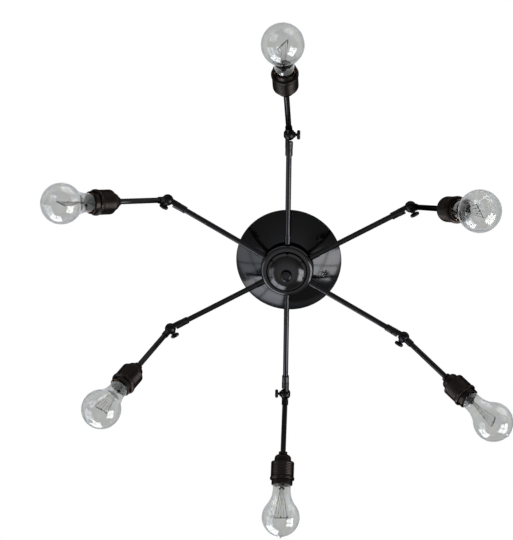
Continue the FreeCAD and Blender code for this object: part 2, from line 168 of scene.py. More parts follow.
def turned(name, outline, place, steps=64, closed=False, angle=35.0):
    """A turned form: outline points are (along X, radius), in millimetres."""
    builder = bmesh.new()
    rings = []
    for along, radius in outline:
        along, radius = along * MM, radius * MM
        if radius < 1e-8:
            rings.append([builder.verts.new((along, 0, 0))])
            continue
        ring = []
        for k in range(steps):
            turn = 2 * math.pi * k / steps
            ring.append(builder.verts.new((along, radius * math.cos(turn),
                                           radius * math.sin(turn))))
        rings.append(ring)
    pairs = list(zip(rings, rings[1:]))
    if closed:
        pairs.append((rings[-1], rings[0]))
    for one, two in pairs:
        if len(one) == 1 and len(two) == 1:
            continue
        for k in range(steps):
            j = (k + 1) % steps
            corners = [one[k % len(one)], one[j % len(one)], two[j % len(two)], two[k % len(two)]]
            corners = list(dict.fromkeys(corners))
            if len(corners) > 2:
                builder.faces.new(corners)
    return finished(builder, name, place, angle)


def settled(piece, place):
    """Moves a piece's place into its mesh. Its own place stays in an attribute."""
    own = piece.data.attributes.new(OWN_PLACE, "FLOAT_VECTOR", "POINT")
    for vertex, entry in zip(piece.data.vertices, own.data):
        entry.vector = vertex.co
    piece.data.transform(place)
    piece.matrix_world = Matrix()
    return piece


def tube_along(name, points, radius, place, steps=8, smooth=False):
    """Round wire through points in millimetres, as a curve made into a mesh."""
    curve = bpy.data.curves.new(name, "CURVE")
    curve.dimensions = "3D"
    curve.bevel_depth = radius * MM
    curve.bevel_resolution = max(1, steps // 4)
    curve.use_fill_caps = True
    spline = curve.splines.new("NURBS" if smooth else "POLY")
    spline.points.add(len(points) - 1)
    for point, spot in zip(spline.points, points):
        point.co = (*(Vector(spot) * MM), 1)
    if smooth:
        spline.use_endpoint_u = True
        spline.order_u = 3
    holder = linked(name + ".curve", curve, Matrix())
    bpy.context.view_layer.update()
    mesh = bpy.data.meshes.new_from_object(holder.evaluated_get(
        bpy.context.evaluated_depsgraph_get()))
    bpy.data.objects.remove(holder)
    mesh.polygons.foreach_set("use_smooth", [True] * len(mesh.polygons))
    mesh.name = name
    return linked(name, mesh, place)


def joined(pieces, name):
    """One smooth object from several that share a finish."""
    builder = bmesh.new()
    home = pieces[0].matrix_world.copy()
    for piece in pieces:
        piece.data.transform(home.inverted() @ piece.matrix_world)
        builder.from_mesh(piece.data)
        bpy.data.objects.remove(piece)
    mesh = bpy.data.meshes.new(name)
    builder.to_mesh(mesh)
    builder.free()
    for polygon in mesh.polygons:
        polygon.use_smooth = True
        polygon.material_index = 0
    return linked(name, mesh, home)


def coat(mesh, finish):
    """Gives a mesh one finish."""
    mesh.materials.clear()
    mesh.materials.append(material(finish))


def dress(piece, finish, body, slot, *nodes):
    """Gives a piece its finish and body, and hides the CAD nodes it stands for. Its slot is not
    used.
    """
    coat(piece.data, finish)
    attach(piece, body)
    if nodes:
        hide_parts(*nodes)


def repaint(node, finish):
    """A new finish on a piece that keeps its own mesh."""
    coat(frame["nodes"][node].data, finish)


# ---- shader node groups ----
def new_group(name, inputs, outputs):
    """Shared group, with what it is given and what it has to give."""
    group = bpy.data.node_groups.new(name, "ShaderNodeTree")
    for label, default in inputs.items():
        kind = "NodeSocketColor" if isinstance(default, tuple) else "NodeSocketFloat"
        socket = group.interface.new_socket(label, in_out="INPUT", socket_type=kind)
        socket.default_value = default
    for label in outputs:
        kind = "NodeSocketColor" if label == "Colour" else "NodeSocketFloat"
        group.interface.new_socket(label, in_out="OUTPUT", socket_type=kind)
    given = group.nodes.new("NodeGroupInput").outputs
    return group, given, group.nodes.new("NodeGroupOutput").inputs


def calculate(tree, operation, *values):
    node = tree.nodes.new("ShaderNodeMath")
    node.operation = operation
    for socket, value in zip(node.inputs, values):
        wire(tree, value, socket)
    return node.outputs[0]


def wire(tree, value, socket):
    """Links a socket to another, or sets it to a number or colour."""
    if isinstance(value, bpy.types.NodeSocket):
        tree.links.new(value, socket)
    else:
        socket.default_value = value


def noise(tree, vector, scale, detail=3.0, roughness=0.55):
    node = tree.nodes.new("ShaderNodeTexNoise")
    node.inputs["Detail"].default_value = detail
    node.inputs["Roughness"].default_value = roughness
    wire(tree, vector, node.inputs["Vector"])
    wire(tree, scale, node.inputs["Scale"])
    return node.outputs["Fac"]


def ramp(tree, value, low, high):
    """Smooth step of a value between two limits, 0 to 1."""
    node = tree.nodes.new("ShaderNodeMapRange")
    node.interpolation_type = "SMOOTHSTEP"
    wire(tree, value, node.inputs["Value"])
    wire(tree, low, node.inputs["From Min"])
    wire(tree, high, node.inputs["From Max"])
    return node.outputs["Result"]


def mixed(tree, factor, first, second):
    node = tree.nodes.new("ShaderNodeMix")
    node.data_type = "RGBA"
    wire(tree, factor, node.inputs["Factor"])
    wire(tree, first, node.inputs["A"])
    wire(tree, second, node.inputs["B"])
    return node.outputs["Result"]


def object_coordinates(tree):
    return tree.nodes.new("ShaderNodeTexCoord").outputs["Object"]


def settled_coordinates(tree):
    """A settled piece's own coordinates, along its axis and across it."""
    node = tree.nodes.new("ShaderNodeAttribute")
    node.attribute_name = OWN_PLACE
    return node.outputs["Vector"]


def make_lacquer_group():
    """Fine unevenness of a sprayed and baked finish."""
    group, given, wanted = new_group("Lacquer skin", {
        "Colour": (0.02, 0.02, 0.02, 1), "Warm tone": (0.05, 0.03, 0.02, 1), "Warm share": 0.5,
        "Roughness": 0.3, "Roughness spread": 0.12, "Ripple": 260.0,
    }, ["Colour", "Roughness", "Height"])
    where = object_coordinates(group)
    cloud = ramp(group, noise(group, where, 38.0, 4.0), 0.35, 0.75)
    share = calculate(group, "MULTIPLY", cloud, given["Warm share"])
    wire(group, mixed(group, share, given["Colour"], given["Warm tone"]),
         wanted["Colour"])
    smear = calculate(group, "SUBTRACT", noise(group, where, 90.0, 5.0, 0.65), 0.5)
    spread = calculate(group, "MULTIPLY", smear, given["Roughness spread"])
    wire(group, calculate(group, "ADD", spread, given["Roughness"]),
         wanted["Roughness"])
    ripple = noise(group, where, given["Ripple"], 1.0)
    grit = calculate(group, "MULTIPLY", noise(group, where, 2600.0, 2.0), 0.25)
    wire(group, calculate(group, "ADD", ripple, grit), wanted["Height"])


def make_wear_group():
    """Rubbed edges and a little dust where a surface looks up."""
    group, given, wanted = new_group("Wear and dust", {
        "Edge width": 0.5, "Edge share": 0.6, "Dust share": 0.25}, ["Edge", "Dust"])
    where = object_coordinates(group)
    geometry = group.nodes.new("ShaderNodeNewGeometry")
    limit = calculate(group, "ADD", given["Edge width"], 0.06)
    edge = ramp(group, geometry.outputs["Pointiness"], given["Edge width"], limit)
    patch = ramp(group, noise(group, where, 420.0, 4.0, 0.7), 0.42, 0.62)
    edge = calculate(group, "MULTIPLY", edge, patch)
    wire(group, calculate(group, "MULTIPLY", edge, given["Edge share"]),
         wanted["Edge"])
    split = group.nodes.new("ShaderNodeSeparateXYZ")
    wire(group, geometry.outputs["Normal"], split.inputs[0])
    up = ramp(group, split.outputs["Z"], 0.35, 1.0)
    specks = ramp(group, noise(group, where, 700.0, 5.0, 0.7), 0.4, 0.7)
    dust = calculate(group, "MULTIPLY", up, specks)
    wire(group, calculate(group, "MULTIPLY", dust, given["Dust share"]),
         wanted["Dust"])


def make_turning_group():
    """Fine lathe marks round a piece's own X axis."""
    group, given, wanted = new_group("Turning marks", {
        "Marks per metre": 2500.0, "Unevenness": 0.5}, ["Height"])
    where = object_coordinates(group)
    split = group.nodes.new("ShaderNodeSeparateXYZ")
    wire(group, where, split.inputs[0])
    joined = group.nodes.new("ShaderNodeCombineXYZ")
    wire(group, split.outputs["X"], joined.inputs["X"])
    marks = noise(group, joined.outputs[0], given["Marks per metre"], 2.0)
    cloud = calculate(group, "MULTIPLY", noise(group, where, 300.0, 3.0),
                      given["Unevenness"])
    wire(group, calculate(group, "ADD", marks, cloud), wanted["Height"])


def make_crest_wear_and_highlight_group():
    """Where the finish is worn through on a turned piece's highest rings: lighter there, partly
    real wear and partly a painted highlight along the thin crests.
    """
    group, given, wanted = new_group("Rubbed crests and painted highlight", {"Crest": 0.0196}, ["Mask"])
    where = object_coordinates(group)
    split = group.nodes.new("ShaderNodeSeparateXYZ")
    wire(group, where, split.inputs[0])
    across = calculate(group, "ADD", calculate(group, "POWER", split.outputs["Y"], 2.0),
                       calculate(group, "POWER", split.outputs["Z"], 2.0))
    radius = calculate(group, "SQRT", across)
    low = calculate(group, "SUBTRACT", given["Crest"], 0.00012)
    ring = ramp(group, radius, low, given["Crest"])
    patch = ramp(group, noise(group, where, 200.0, 4.0, 0.7), 0.42, 0.66)
    wire(group, calculate(group, "MULTIPLY", ring, patch), wanted["Mask"])


def group_node(tree, name, **values):
    """Places a shared group, with this material's own values."""
    node = tree.nodes.new("ShaderNodeGroup")
    node.node_tree = bpy.data.node_groups[name]
    for label, value in values.items():
        wire(tree, value, node.inputs[label.replace("_", " ")])
    return node


def new_material(name):
    """Material with a bare Principled shader."""
    material = bpy.data.materials.new(name)
    if material.name != name:
        raise RuntimeError(f"the name {name} is taken, so its pieces would get another finish")
    material.use_nodes = True
    shader = material.node_tree.nodes["Principled BSDF"]
    return material.node_tree, shader


def bump(tree, shader, height, strength, distance=0.0002):
    node = tree.nodes.new("ShaderNodeBump")
    node.inputs["Strength"].default_value = strength
    node.inputs["Distance"].default_value = distance
    wire(tree, height, node.inputs["Height"])
    tree.links.new(node.outputs["Normal"], shader.inputs["Normal"])


def rgba(colour):
    return (*colour[:3], 1.0)


# ---- materials ----
def lacquered(name, colour, warm, warm_share, roughness, ripple, edge_share=0.08, metal=True,
              crest=None):
    """Dark sprayed or blackened metal, a little worn at its edges, with a trace of dust; given a
    crest, its highest rings are lighter, partly wear and partly a painted highlight.
    """
    tree, shader = new_material(name)
    skin = group_node(tree, "Lacquer skin", Colour=rgba(colour), Warm_tone=rgba(warm),
                      Warm_share=warm_share, Roughness=roughness)
    wear = group_node(tree, "Wear and dust", Edge_width=0.56, Edge_share=edge_share,
                      Dust_share=0.03)
    base = mixed(tree, wear.outputs["Edge"], skin.outputs["Colour"], (0.3, 0.28, 0.26, 1))
    if crest is not None:
        # Lighter crests: partly worn-through finish, partly a painted highlight on the beads' thin
        # crests.
        crest_wear_and_highlight = group_node(tree, "Rubbed crests and painted highlight", Crest=crest)
        base = mixed(tree, crest_wear_and_highlight.outputs["Mask"], base, (0.17, 0.145, 0.125, 1))
    base = mixed(tree, wear.outputs["Dust"], base, (0.33, 0.31, 0.29, 1))
    wire(tree, base, shader.inputs["Base Color"])
    rough = calculate(tree, "ADD", skin.outputs["Roughness"],
                      calculate(tree, "MULTIPLY", wear.outputs["Dust"], 0.4))
    wire(tree, rough, shader.inputs["Roughness"])
    if metal:
        wire(tree, calculate(tree, "SUBTRACT", 1.0, wear.outputs["Dust"]),
             shader.inputs["Metallic"])
        shader.inputs["Specular Tint"].default_value = (0.25, 0.25, 0.25, 1.0)
    bump(tree, shader, skin.outputs["Height"], ripple)


def bare_metal(name, colour, dull, roughness, marks=2500.0):
    """Plated or bare metal with turning marks and tarnish."""
    tree, shader = new_material(name)
    where = object_coordinates(tree)
    tarnish = ramp(tree, noise(tree, where, 160.0, 5.0, 0.65), 0.35, 0.7)
    wire(tree, mixed(tree, tarnish, rgba(colour), rgba(dull)), shader.inputs["Base Color"])
    wire(tree, calculate(tree, "ADD", calculate(tree, "MULTIPLY", tarnish, 0.2), roughness),
         shader.inputs["Roughness"])
    shader.inputs["Metallic"].default_value = 1.0
    turning = group_node(tree, "Turning marks", Marks_per_metre=marks)
    bump(tree, shader, turning.outputs["Height"], 0.12, 0.0001)


def clear_glass(name, colour, edge_painted_shade, neck_painted_shade=False):
    """Blown glass, a little uneven. Its grey tone is painted shade of the surroundings seen
    through it, deeper where the wall is seen edge on, and darker still as painted shade inside the
    lampholder's mouth when the neck shade is asked for.
    """
    tree, shader = new_material(name)
    where = settled_coordinates(tree) if neck_painted_shade else object_coordinates(tree)
    streak = ramp(tree, noise(tree, where, 60.0, 3.0), 0.3, 0.8)
    warm = (colour[0] * 1.04, colour[1] * 1.02, colour[2] * 0.97, 1.0)
    tint = mixed(tree, streak, rgba(colour), warm)
    # Painted shade: the glass below the holder's rim is darkened, with grey specks, to stand in
    # for the shade inside the lampholder's mouth.
    if neck_painted_shade:
        split = tree.nodes.new("ShaderNodeSeparateXYZ")
        wire(tree, where, split.inputs[0])
        neck_shade_mask = ramp(tree, split.outputs["X"], 0.001, -0.003)
        specks = ramp(tree, noise(tree, where, 900.0, 3.0, 0.7), 0.35, 0.65)
        dark = mixed(tree, specks, (0.2, 0.2, 0.2, 1), (0.5, 0.5, 0.5, 1))
        tint = mixed(tree, neck_shade_mask, tint, dark)
    # Painted shade: the base colour darkens towards the rim colour where the wall is seen edge on.
    weight = tree.nodes.new("ShaderNodeLayerWeight")
    weight.inputs["Blend"].default_value = 0.5
    edge = ramp(tree, weight.outputs["Facing"], 0.35, 0.95)
    wire(tree, mixed(tree, edge, tint, rgba(edge_painted_shade)), shader.inputs["Base Color"])
    shader.inputs["Transmission Weight"].default_value = 1.0
    shader.inputs["Roughness"].default_value = 0.0
    shader.inputs["IOR"].default_value = 1.46
    crinkle = calculate(tree, "MULTIPLY", noise(tree, where, 420.0, 2.0), 0.12)
    waves = calculate(tree, "ADD", noise(tree, where, 85.0, 2.0), crinkle)
    bump(tree, shader, waves, 0.3, 0.001)


def mottled(name, dark, light, roughness):
    """Flaky mineral sheet; on the bulb's neck its near-black tone is painted shade."""
    tree, shader = new_material(name)
    where = object_coordinates(tree)
    flakes = ramp(tree, noise(tree, where, 750.0, 5.0, 0.7), 0.35, 0.68)
    wire(tree, mixed(tree, flakes, rgba(dark), rgba(light)), shader.inputs["Base Color"])
    shader.inputs["Roughness"].default_value = roughness
    bump(tree, shader, flakes, 0.3, 0.0002)


def plastic(name, colour, second, roughness):
    """Moulded or extruded plastic with a fine grain."""
    tree, shader = new_material(name)
    where = object_coordinates(tree)
    cloud = ramp(tree, noise(tree, where, 90.0, 4.0), 0.35, 0.7)
    wire(tree, mixed(tree, cloud, rgba(colour), rgba(second)), shader.inputs["Base Color"])
    wire(tree, calculate(tree, "ADD", calculate(tree, "MULTIPLY", cloud, 0.15), roughness),
         shader.inputs["Roughness"])
    bump(tree, shader, noise(tree, where, 500.0, 4.0), 0.1, 0.0001)


def make_materials(finish):
    """Every finish on the light. No name here is one of the record's slots."""
    make_lacquer_group()
    make_wear_group()
    make_turning_group()
    make_crest_wear_and_highlight_group()
    lacquered("canopy lacquer", finish.canopy_colour, (0.026, 0.022, 0.021), 0.5, 0.15, 0.05)
    lacquered("hub lacquer", finish.hub_colour, (0.032, 0.028, 0.027), 0.5, 0.18, 0.08)
    lacquered("tube satin", finish.tube_colour, (0.024, 0.022, 0.022), 0.4, 0.13, 0.03)
    lacquered("knuckle satin", finish.knuckle_colour, (0.018, 0.016, 0.015), 0.5, 0.26, 0.08)
    lacquered("holder bronze", finish.holder_colour, (0.028, 0.023, 0.021), 0.6, 0.3, 0.12,
              edge_share=0.12, crest=19.6 * MM)
    bare_metal("lining copper", (0.3, 0.15, 0.1), (0.14, 0.07, 0.05), 0.35)
    bare_metal("zinc plate", (0.66, 0.65, 0.6), (0.42, 0.4, 0.36), 0.3)
    lacquered("earth green", (0.05, 0.28, 0.09), (0.03, 0.16, 0.06), 0.6, 0.35, 0.05,
              metal=False)
    plastic("lead sheath", (0.03, 0.03, 0.03), (0.045, 0.045, 0.045), 0.45)
    plastic("insulator glaze", (0.28, 0.17, 0.11), (0.2, 0.11, 0.07), 0.3)
    bare_metal("shell brass", (0.62, 0.38, 0.2), (0.34, 0.2, 0.12), 0.28)
    bare_metal("base brass", finish.brass_colour, (0.3, 0.18, 0.1), 0.3)
    # The glass colours carry painted shade: grey for the surroundings seen through clear glass,
    # darker at the edges.
    clear_glass("clear glass", finish.glass_room_shade, finish.glass_edge_shade, neck_painted_shade=True)
    clear_glass("stem glass", finish.glass_room_shade, finish.glass_edge_shade)
    bare_metal("filament wire", (0.06, 0.05, 0.05), (0.025, 0.02, 0.02), 0.5)
    # Painted shade: the disc's near-black tone stands in for the shade inside the lampholder's
    # mouth.
    mottled("neck mica painted shade", (0.005, 0.005, 0.005), (0.07, 0.07, 0.074), 0.5)
    plastic("black insulator", (0.012, 0.012, 0.014), (0.02, 0.02, 0.022), 0.12)


def material(name):
    found = bpy.data.materials.get(name)
    if found is None:
        raise RuntimeError(f"no material named {name}: run the finishes first")
    return found


# ---- settings ----
def length(name, description, millimetres):
    return bpy.props.FloatProperty(name=name, description=description, min=0.0,
                                   default=millimetres * MM, unit="LENGTH",
                                   subtype="DISTANCE")


def colour_setting(name, description, value):
    return bpy.props.FloatVectorProperty(name=name, description=description, default=value,
                                         size=3, min=0.0, max=1.0, subtype="COLOR")


class LightSizes(bpy.types.PropertyGroup):
    """Sizes of the metalwork."""
    canopy_radius: length("Canopy radius", "Half the canopy's width", 84.5)
    canopy_depth: length("Canopy depth", "Ceiling to the drum", 30.5)
    canopy_wall: length("Canopy wall", "Thickness of the pressed sheet", 1.2)
    canopy_flat: length("Canopy flat", "Radius of the flat under the drum", 37.0)
    canopy_lip: length("Canopy lip", "Height of the straight rim", 2.4)
    canopy_bulge: length("Canopy bulge", "Swell of the dish's side", 2.2)
    drum_radius: length("Drum radius", "Half the drum's width", 41.6)
    drum_bottom: length("Drum bottom", "Ceiling to the drum's lower face", 55.5)
    cap_radius: length("Cap radius", "Half the width of the domed cap", 32.2)
    cap_depth: length("Cap depth", "Height of the domed cap", 17.8)
    finial_radius: length("Finial radius", "Half the finial's width", 8.5)
    finial_bottom: length("Finial bottom", "Ceiling to the finial's tip", 82.4)
    nipple_radius: length("Nipple radius", "Half the threaded tube's width", 4.9)
    tube_radius: length("Tube radius", "Half the arm tube's width", 4.25)
    tube_bore: length("Tube bore", "Radius of the arm tube's bore", 3.45)
    tube_in_holder: length("Tube in holder", "Tube's length inside the lampholder", 8.4)
    coupling_radius: length("Coupling radius", "Half the hub coupling's width", 4.85)
    coupling_stub: length("Coupling length", "Coupling's length outside the drum", 15.0)
    sleeve_radius: length("Sleeve radius", "Half the end sleeve's width", 5.65)
    sleeve_start: length("Sleeve start", "Knuckle to the sleeve's hub end", 32.5)
    shank_start: length("Shank start", "Knuckle to the sleeve's outer end", 20.5)
    knuckle_end: length("Knuckle end", "Knuckle to the outer tube's start", 11.0)
    socketed: length("Socketed", "Tube's length inside a bush", 10.0)
    holder_length: length("Holder length", "Lampholder from back to rim", 53.0)
    holder_radius: length("Holder radius", "Half the lampholder body's width", 18.6)


class LightFinish(bpy.types.PropertyGroup):
    """Colours of the finishes."""
    canopy_colour: colour_setting("Canopy", "Gloss lacquer", (0.025, 0.0255, 0.027))
    hub_colour: colour_setting("Hub", "Drum, dome and finial", (0.034, 0.034, 0.036))
    tube_colour: colour_setting("Tubes", "Satin black", (0.022, 0.022, 0.024))
    knuckle_colour: colour_setting("Knuckles", "Satin black", (0.014, 0.014, 0.015))
    holder_colour: colour_setting("Lampholders", "Oil-rubbed bronze", (0.017, 0.0145, 0.0138))
    brass_colour: colour_setting("Brass", "Bulb base", (0.6, 0.38, 0.2))
    # Painted shade: the grey face-on tone stands in for the surroundings seen through clear glass,
    # and the rim colour for the shade seen at its edges.
    glass_room_shade: colour_setting("Glass", "Bulb glass seen face on", (0.655, 0.665, 0.67))
    glass_edge_shade: colour_setting("Glass rim", "Bulb glass seen edge on", (0.22, 0.26, 0.32))


class BulbSizes(bpy.types.PropertyGroup):
    """Sizes of the clear bulbs."""
    globe_radius: length("Globe radius", "Half the bulb's width", 30.0)
    globe_centre: length("Globe centre", "Lampholder's rim to the globe's centre", 51.0)
    tip_reach: length("Tip reach", "Globe's centre to the end of the pip", 32.8)
    neck_radius: length("Neck radius", "Half the neck's width", 14.3)
    neck_end: length("Neck end", "Rim to where the neck starts to widen", 7.0)
    root_radius: length("Root radius", "Neck's radius inside the base", 11.4)
    wall: length("Glass wall", "Thickness of the glass", 0.5)
    base_radius: length("Base radius", "Half the screw base's width", 13.1)
    base_top: length("Base top", "Rim back to the base's upper edge", 2.6)
    filament_half: length("Filament half", "Half the filament's length", 10.5)
    stem_top: length("Stem top", "Rim to the top of the glass stem", 5.5)


class StageSettings(bpy.types.PropertyGroup):
    """Camera, lamps and backdrop."""
    camera_place: bpy.props.FloatVectorProperty(
        name="Camera place", description="Where the camera stands", size=3,
        default=(0.0859, -0.6222, -1.7703), subtype="TRANSLATION", unit="LENGTH")
    camera_target: bpy.props.FloatVectorProperty(
        name="Camera target", description="Point that the camera looks at", size=3,
        default=(-0.0483, 0.0027, -0.0440), subtype="TRANSLATION", unit="LENGTH")
    camera_roll: bpy.props.FloatProperty(
        name="Camera roll", description="Camera's turn about its own line of sight",
        default=math.radians(1.85), subtype="ANGLE")
    lens: bpy.props.FloatProperty(
        name="Lens", description="Focal length for a 36 mm sensor, in millimetres",
        default=77.98, min=1.0)
    floor_drop: length("Floor drop", "Ceiling to floor", 2400.0)
    floor_radius: length("Floor radius", "Half the round floor's width", 40000.0)
    window_radiance: bpy.props.FloatProperty(
        name="Window brightness", description="How bright the lamps look in reflections",
        default=8.0, min=0.0)
    lamp_through_glass: bpy.props.FloatProperty(
        name="Lamps through glass", description="How bright they are seen straight through glass",
        default=0.125, min=0.0, max=1.0)
    window_size: length("Window size", "Width and height of each four-pane lamp", 1700.0)
    window_bar: length("Window bar", "Width of the dark bar between two panes", 70.0)
    window_distance: length("Window distance", "From the light's centre to each lamp", 2200.0)
    sky: bpy.props.FloatProperty(
        name="Sky", description="Strength of the even light on the object",
        default=0.3, min=0.0)


class InMillimetres:
    """A group of lengths, read in millimetres."""

    def __init__(self, group):
        self.group = group

    def __getattr__(self, name):
        return getattr(self.group, name) / MM


def sizes():
    return InMillimetres(bpy.context.scene.light_sizes)


def sizes_of_bulb():
    return InMillimetres(bpy.context.scene.light_bulbs)


def arms():
    return [Arm(number) for number in ARM_NUMBERS]


# ---- pieces ----
def hanging():
    """Places a turned form so that its X axis runs down from the ceiling."""
    return axes_at((0, 0, 0), (0, 0, -1), (1, 0, 0))


def dish_outline(s, inset):
    """The canopy's side from rim to flat, pulled in by an inset; along is down."""
    rim = s.canopy_radius - inset
    flat = s.canopy_flat - inset / 2
    lip = s.canopy_lip - inset / 4
    low = s.canopy_depth - inset
    side = []
    steps = 24
    for k in range(steps + 1):
        t = k / steps
        swell = s.canopy_bulge * 4 * t * (1 - t)
        across, down = rim + (flat - rim) * t, lip + (low - lip) * t
        lean = math.hypot(rim - flat, low - lip)
        side.append((down + swell * (rim - flat) / lean, across + swell * (low - lip) / lean))
    return side


class LIGHT_OT_canopy(bpy.types.Operator):
    """Pressed dish against the ceiling"""
    bl_idname = "light.canopy"
    bl_label = "Canopy"

    def execute(self, context):
        s = sizes()
        wall = s.canopy_wall
        outer = softened([(0, s.canopy_radius - wall / 2), (0, s.canopy_radius)]
                         + dish_outline(s, 0)
                         + [(s.canopy_depth, s.nipple_radius)], 1.2)
        inner = [(s.canopy_depth - wall, s.nipple_radius)]
        inner += dish_outline(s, wall)[::-1] + [(0, s.canopy_radius - wall)]
        piece = turned("canopy_dish", outer + [Vector(p) for p in inner], hanging(), 128, True)
        dress(piece, "canopy lacquer", ROOT, "gloss_black", "canopy")
        return {"FINISHED"}


class LIGHT_OT_hub(bpy.types.Operator):
    """Drum, domed cap and finial"""
    bl_idname = "light.hub"
    bl_label = "Hub"

    def execute(self, context):
        s = sizes()
        wall = 2
        top, low = s.canopy_depth, s.drum_bottom
        mouth = s.drum_radius - 10.5
        drum = [(top, s.nipple_radius), (top, s.drum_radius - 2.6)]
        drum += arc((top + 2.6, s.drum_radius - 2.6), 2.6, 180, 90, 8)[1:]
        drum += arc((low - 6.5, s.drum_radius - 6.5), 6.5, 90, 0, 12)
        drum += [(low, mouth), (low - wall, mouth)]
        drum += arc((low - 6.5, s.drum_radius - 6.5), 4.5, 0, 90, 8)
        drum += [(top + wall, s.drum_radius - wall), (top + wall, s.nipple_radius)]
        piece = turned("hub_drum", drum, hanging(), 128, True)
        dress(piece, "hub lacquer", ROOT, "gloss_black", "hub_body")

        brim = low + 1.2
        flat = s.finial_radius - 1
        reach = s.cap_radius - flat
        dome = []
        for k in range(25):
            angle = math.radians(90 * k / 24)
            dome.append((brim + (s.cap_depth - 1.2) * math.sin(angle),
                         flat + reach * math.cos(angle) ** 0.9))
        outer = [(low, s.cap_radius - 1.2), (low, s.cap_radius)] + dome
        outer += [(low + s.cap_depth, s.nipple_radius)]
        inner = [(low + s.cap_depth - 1.2, s.nipple_radius)]
        inner += [(a - 1.1, r - 0.9) for a, r in dome[::-1]]
        piece = turned("hub_dome", softened(outer, 0.4) + [Vector(p) for p in inner],
                       hanging(), 128, True)
        dress(piece, "hub lacquer", ROOT, "gloss_black", "hub_cap")

        top = low + s.cap_depth
        tip = s.finial_bottom
        ball = s.finial_radius
        outline = [(tip, 0), (tip, ball * 0.32)]
        outline += [(tip - 0.6, ball * 0.58)]
        belly = (top + tip) / 2
        outline += arc((belly, ball * 0.5), ball * 0.5, 38, 142, 16)
        outline += [(top + 0.6, ball * 0.7), (top, ball * 0.72), (top, 0)]
        piece = turned("finial_nut", softened(outline, 0.5), hanging(), 64)
        dress(piece, "canopy lacquer", ROOT, "gloss_black", "finial")
        return {"FINISHED"}


def pipe_outline(s, start, end):
    """Wall of a straight tube."""
    return softened([(start, s.tube_bore), (start, s.tube_radius), (end, s.tube_radius),
                     (end, s.tube_bore), (start, s.tube_bore)], 0.2)


class LIGHT_OT_tubes(bpy.types.Operator):
    """Straight tubes and the bushes that hold them"""
    bl_idname = "light.tubes"
    bl_label = "Tubes"

    def execute(self, context):
        s = sizes()
        stub_end = s.drum_radius + s.coupling_stub
        for arm in arms():
            sleeve_start = arm.reach - s.sleeve_start
            sleeve_end = arm.reach - s.shank_start
            tube = turned(f"arm_tube_{arm.number}", pipe_outline(
                s, stub_end - s.socketed, sleeve_start + s.socketed), arm.spoke, 40)
            bush = turned(f"hub_coupling_{arm.number}", softened([
                (s.drum_radius - 5, 0), (s.drum_radius - 5, 3.9),
                (s.drum_radius - 0.6, 3.9),
                (s.drum_radius - 0.6, s.coupling_radius),
                (stub_end, s.coupling_radius), (stub_end, s.tube_radius),
                (stub_end - s.socketed, s.tube_radius), (stub_end - s.socketed, 0)],
                0.35), arm.spoke, 40)
            sleeve = turned(f"end_sleeve_{arm.number}", softened([
                (sleeve_start + s.socketed, 0), (sleeve_start + s.socketed, s.tube_radius),
                (sleeve_start, s.tube_radius), (sleeve_start, s.sleeve_radius),
                (sleeve_end, s.sleeve_radius), (sleeve_end, 0)], 0.4), arm.spoke, 40)
            for piece, nodes in ((tube, ["arm_tubes"]), (bush, ["tube_couplings"]),
                                 (sleeve, ["tube_couplings"])):
                dress(piece, "tube satin", ROOT, "tube_black", *nodes)
            outer = turned(f"outer_tube_skin_{arm.number}", pipe_outline(
                s, s.knuckle_end, arm.far_end("outer_tube")), arm.outer, 40)
            dress(outer, "tube satin", f"arm_{arm.number}", "tube_black",
                  f"outer_tube_{arm.number}")
        return {"FINISHED"}


class LIGHT_OT_knuckles(bpy.types.Operator):
    """Finish of the clamped knuckles and their keys"""
    bl_idname = "light.knuckles"
    bl_label = "Knuckles"

    def execute(self, context):
        repaint("swivel_bases", "knuckle satin")
        for arm in arms():
            for node in ("swivel_head", "thumb_key"):
                repaint(f"{node}_{arm.number}", "knuckle satin")
        return {"FINISHED"}


def holder_shell_outline(s):
    """Lampholder body: rounded shoulder, fine ridges, two beads, narrower lip."""
    back = 15.8
    body = s.holder_radius
    skin = 1.0
    lip = 16.8
    bead_start, bead_width, bead_r = 41.0, 2.0, 19.6
    lip_start = 45.2
    outer = [(back, 13.45), (back, body - 2.4)]
    outer += arc((back + 2.4, body - 2.4), 2.4, 180, 90, 6)[1:]
    ridge_pitch, ridge = 2.5, 0.45
    start = back + 4.0
    while start + ridge_pitch < bead_start - 1.0:
        outer += [(start, body), (start + ridge_pitch * 0.2, body - ridge),
                  (start + ridge_pitch * 0.45, body - ridge), (start + ridge_pitch * 0.65, body)]
        start += ridge_pitch
    outer += [(bead_start - 0.4, body)]
    for k in range(2):
        middle = bead_start + bead_width / 2 + k * (bead_width + 0.1)
        rise = bead_r - body
        outer += [(middle + bead_width / 2 * math.cos(math.radians(a)),
                   body + rise * math.sin(math.radians(a))) for a in range(180, -1, -30)]
    outer += [(lip_start, body - 0.4), (lip_start + 0.7, lip)]
    outer += arc((s.holder_length - 0.5, lip - 0.5), 0.5, 90, 0, 4)
    inner = [(s.holder_length, lip - skin), (lip_start, lip - skin),
             (lip_start - skin, body - skin), (back + 2.4, body - skin),
             (back + skin, body - 2.4), (back + skin, 13.45)]
    return outer + inner


def holder_cap_outline(s):
    """Back ring, hollow dome and skirt."""
    ring, ring_r = 4.2, 7.0
    dome_r, skin = 13.4, 1.0
    full, skirt = 11.4, 20.0
    outer = softened([(0, s.tube_radius), (0, ring_r), (ring - 0.5, ring_r),
                      (ring, ring_r - 0.7), (ring + 0.5, ring_r)], 0.7)
    dome = []
    for k in range(13):
        angle = math.radians(90 * k / 12)
        dome.append((full - (full - ring - 0.6) * math.cos(angle),
                     ring_r + 0.4 + (dome_r - ring_r - 0.4) * math.sin(angle)))
    inner = [(skirt, dome_r - skin)] + [(a + skin, r - skin) for a, r in dome[::-1]]
    return list(outer) + dome + [(skirt, dome_r)] + inner + [(ring + 1.2, s.tube_radius)]


